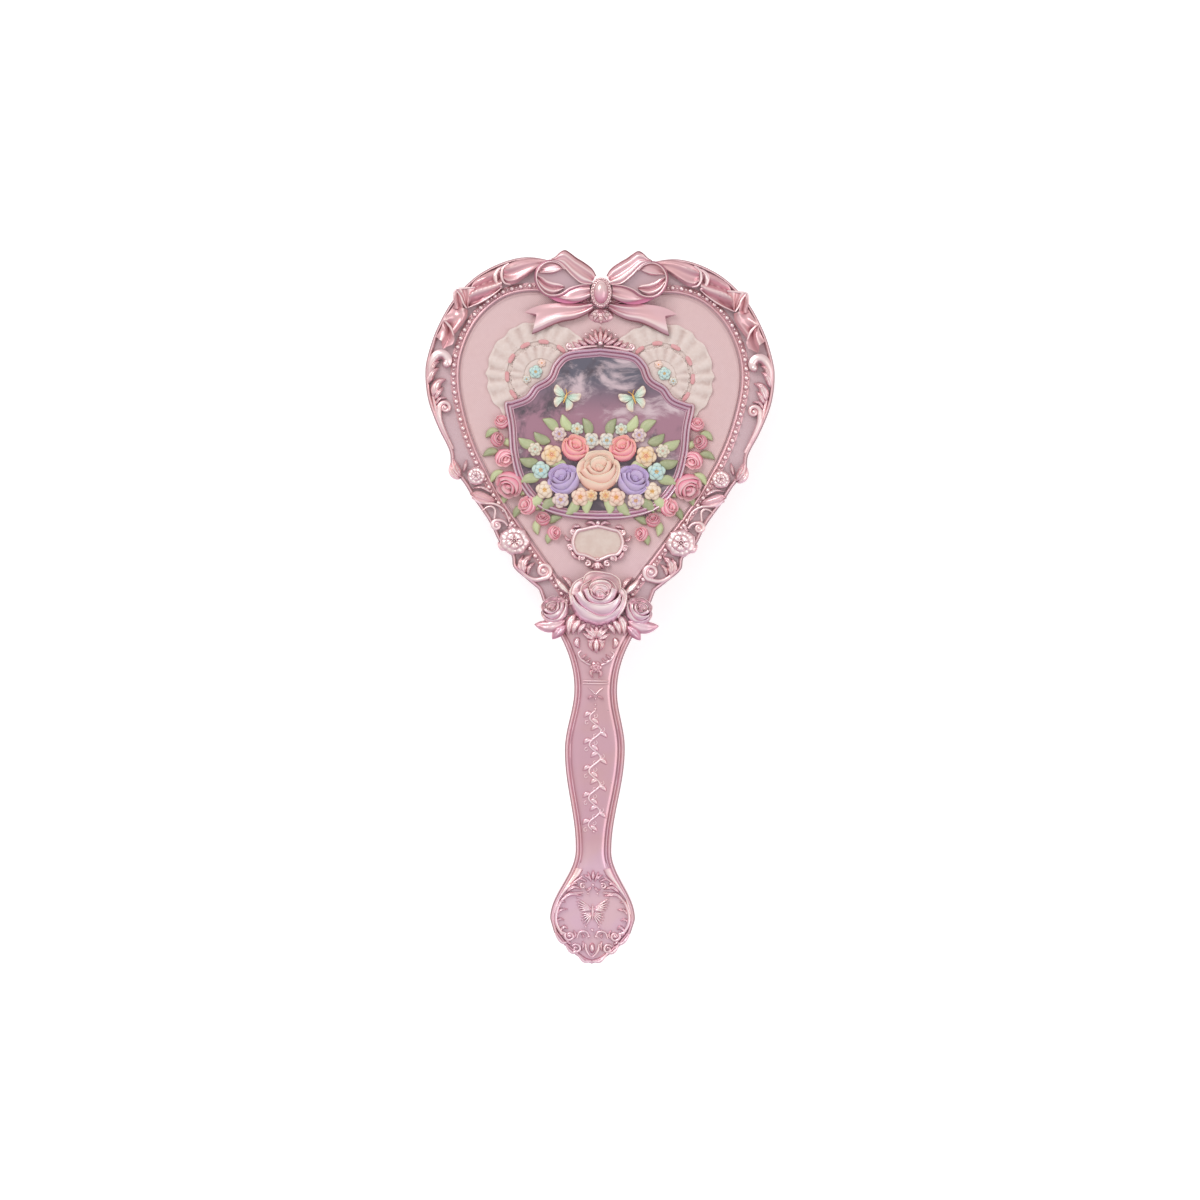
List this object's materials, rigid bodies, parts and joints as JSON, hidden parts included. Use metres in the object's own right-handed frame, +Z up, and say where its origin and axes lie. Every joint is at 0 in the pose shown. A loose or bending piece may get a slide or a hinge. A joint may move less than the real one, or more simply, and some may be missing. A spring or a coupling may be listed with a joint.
{
  "type": "vanity hairbrush",
  "caption": "Heart-shaped vanity hairbrush with a pink plated body, ornate bow, rose and scroll relief on its back, a slim shaped handle, and a sprung air cushion of pins.",
  "frame": {"origin": "centre of the brush's plan outline, at the level of the pin tips it lies on", "axes": "+Y along the handle towards the bow, +Z up out of the ornate back, +X to the right when looking at the back with the bow on top"},
  "size_m": [0.1174, 0.24, 0.0393],
  "materials": {
    "plated": "satin pink plated plastic, metallic sheen",
    "satin_pink": "pearly pink sheet with a fine woven look",
    "mirror": "polished lilac-grey plate",
    "lace": "cream moulded lace, painted",
    "rose_pink": "pink painted moulded roses",
    "blossom": "lilac and cream painted moulded flowers",
    "cream": "cream painted, bare",
    "pearl": "pearl gloss",
    "rubber": "soft matt pink",
    "nylon": "smooth pale pink nylon",
    "steel": "plain"
  },
  "bodies": {
    "brush_body": {"front_shell": "plated", "back_shell": "plated", "shell_screw_left": "steel", "shell_screw_right": "steel", "shell_screw_lower": "steel", "air_cushion": "rubber", "inlay_panel": "satin_pink", "bead_border": "plated", "bow_loop_left": "plated", "bow_loop_right": "plated", "bow_tail_left": "plated", "bow_tail_right": "plated", "jewel_setting": "plated", "bow_jewel": "pearl", "pearl_drop": "pearl", "ribbon_swag_left": "plated", "ribbon_swag_right": "plated", "side_scroll_left": "plated", "side_scroll_right": "plated", "mid_scroll_left": "plated", "mid_scroll_right": "plated", "low_scroll_left": "plated", "low_scroll_right": "plated", "bud_left": "plated", "bud_right": "plated", "floret_left": "plated", "floret_right": "plated", "daisy_left": "plated", "daisy_right": "plated", "centre_rose": "plated", "side_rose_left": "plated", "side_rose_right": "plated", "rose_leaf_left": "plated", "rose_leaf_right": "plated", "neck_drop": "plated", "plaque_frame": "plated", "plaque_plate": "mirror", "plaque_crest": "plated", "lace_left": "lace", "lace_right": "lace", "garland_left": "rose_pink", "garland_right": "rose_pink", "posy": "blossom", "label_frame": "plated", "label_plate": "cream", "pommel_medallion": "plated", "pommel_butterfly": "plated"},
    "pin_pad": {"pins_left": "nylon", "pins_right": "nylon", "pins_lower": "nylon"}
  },
  "joints": [
    {"name": "pad_press", "type": "slide", "parent": "brush_body", "child": "pin_pad", "axis": [0, 0, 1], "range_m": [0, 0.003], "stiffness_N_per_m": 2000, "deforming": ["air_cushion"]}
  ]
}
